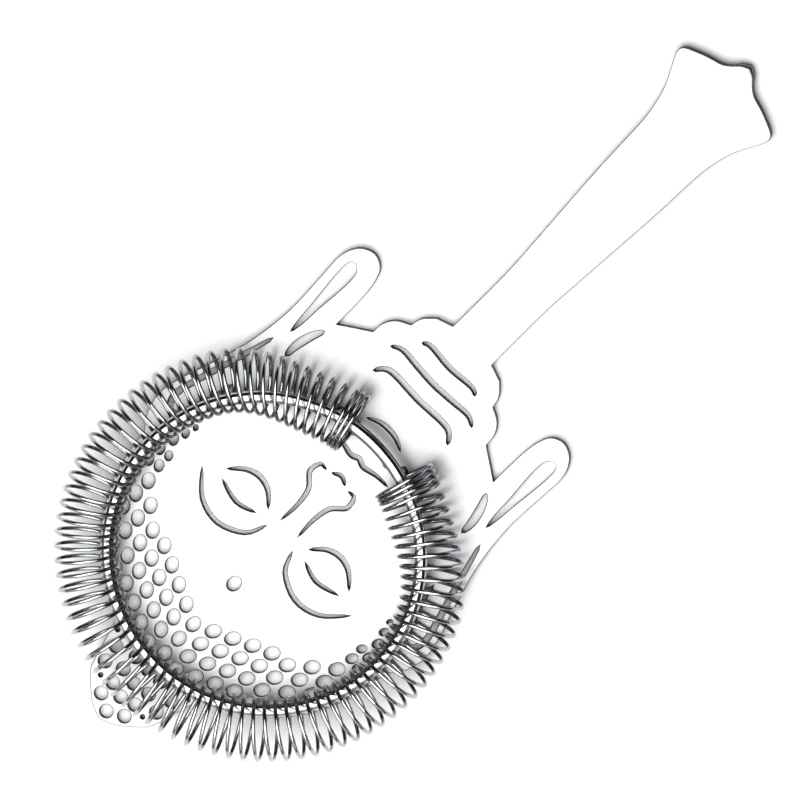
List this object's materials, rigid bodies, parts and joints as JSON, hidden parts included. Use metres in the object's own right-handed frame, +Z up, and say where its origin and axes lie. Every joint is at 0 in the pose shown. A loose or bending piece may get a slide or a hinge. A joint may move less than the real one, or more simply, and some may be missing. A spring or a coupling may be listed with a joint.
{
  "type": "hawthorne strainer",
  "caption": "Cocktail strainer: a flat cut steel plate in the form of a calm sculpted head with a flared handle, and a coil spring on a round rod hoop that seats in a mixing tin.",
  "frame": {"origin": "on the plate's underside, straight below the middle of the hoop; the plate lies on z = 0", "axes": "+Z up, from the plate to the coil; +Y along the handle to its tip; +X to the right with the handle pointing away"},
  "size_m": [0.0944, 0.2123, 0.0172],
  "materials": {
    "plate": "finely polished stainless sheet, faintly brushed along the handle",
    "rod": "bright polished stainless rod",
    "spring_wire": "bright drawn stainless spring wire"
  },
  "bodies": {
    "strainer": {"strainer_plate": "plate", "spring_hoop": "rod", "hoop_post_right": "rod", "hoop_post_left": "rod"},
    "coil": {"coil_spring": "spring_wire"}
  },
  "joints": [
    {"name": "coil_push", "type": "slide", "parent": "strainer", "child": "coil", "axis": [0, 1, 0], "range_m": [0, 0.0035], "stiffness_N_per_m": 400, "deforming": ["coil_spring"]}
  ]
}
